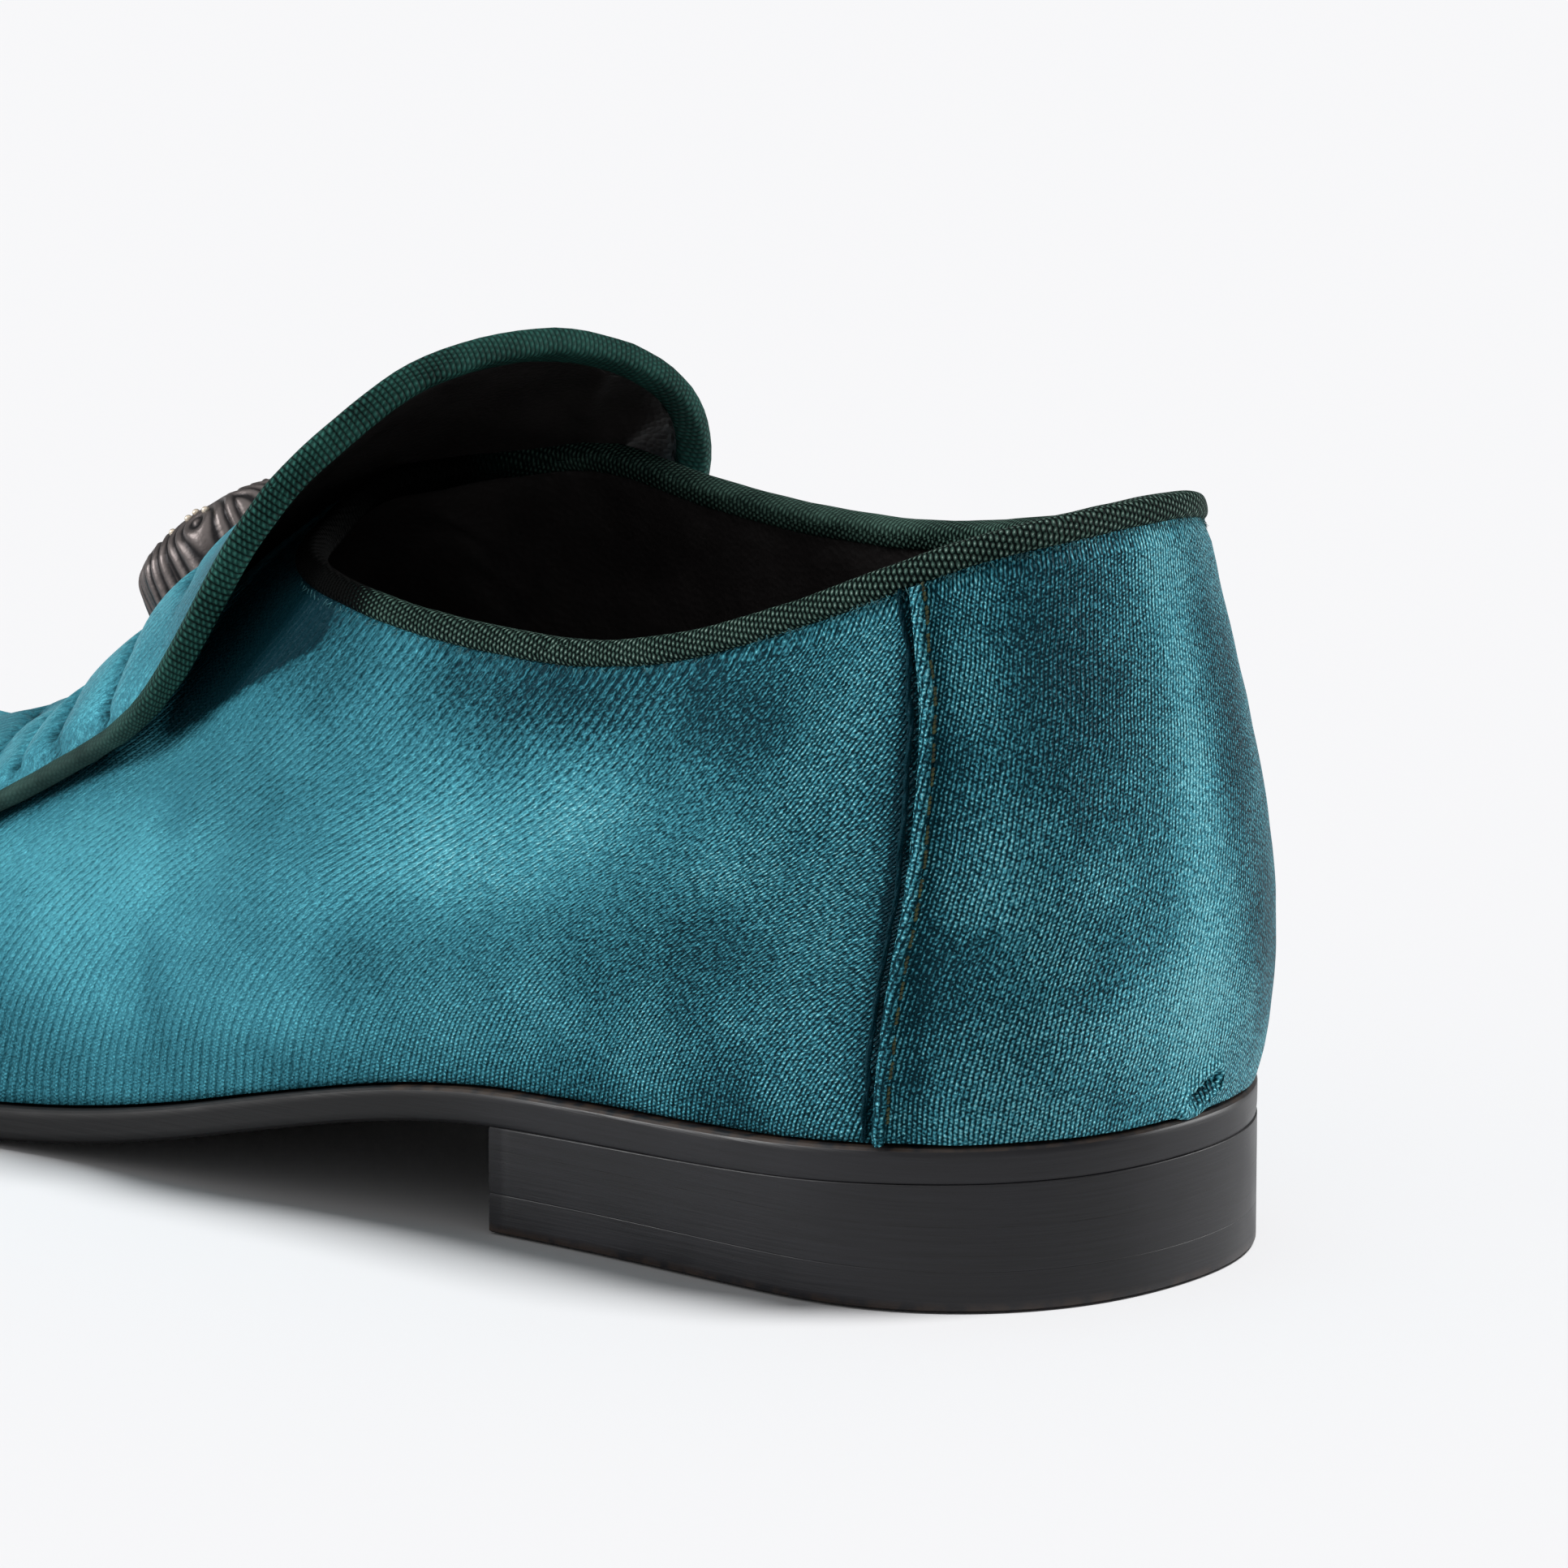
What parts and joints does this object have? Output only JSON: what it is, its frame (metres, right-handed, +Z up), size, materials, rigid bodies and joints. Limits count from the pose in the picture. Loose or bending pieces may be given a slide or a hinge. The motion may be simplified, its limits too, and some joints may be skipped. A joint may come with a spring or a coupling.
{
  "type": "velvet slipper loafer",
  "caption": "Low slipper loafer for a left foot: hollow velvet upper with an arched free tongue, tape-bound edges, a small metal ornament, a thin leather sole and a low heel.",
  "frame": {"origin": "on the floor plane, centre of the heel's round back, 31.75 mm ahead of its rearmost point", "axes": "+Y from heel to toe, +X towards the inner side of the left foot, +Z up from the floor"},
  "size_m": [0.0997, 0.2981, 0.091],
  "materials": {
    "velvet": "crushed teal velvet",
    "grosgrain_tape": "ribbed matt tape",
    "sock_leather": "matt black leather",
    "sole_leather": "satin black leather",
    "top_piece_rubber": "matt black rubber",
    "dark_metal": "antique dark metal"
  },
  "bodies": {
    "root": {"upper": "velvet", "heel_counter": "velvet", "apron_tongue": "velvet", "topline_binding": "grosgrain_tape", "tongue_binding": "grosgrain_tape", "insole": "sock_leather", "outsole": "sole_leather", "heel_stack": "sole_leather", "heel_top_piece": "top_piece_rubber", "ornament": "dark_metal"}
  },
  "joints": []
}
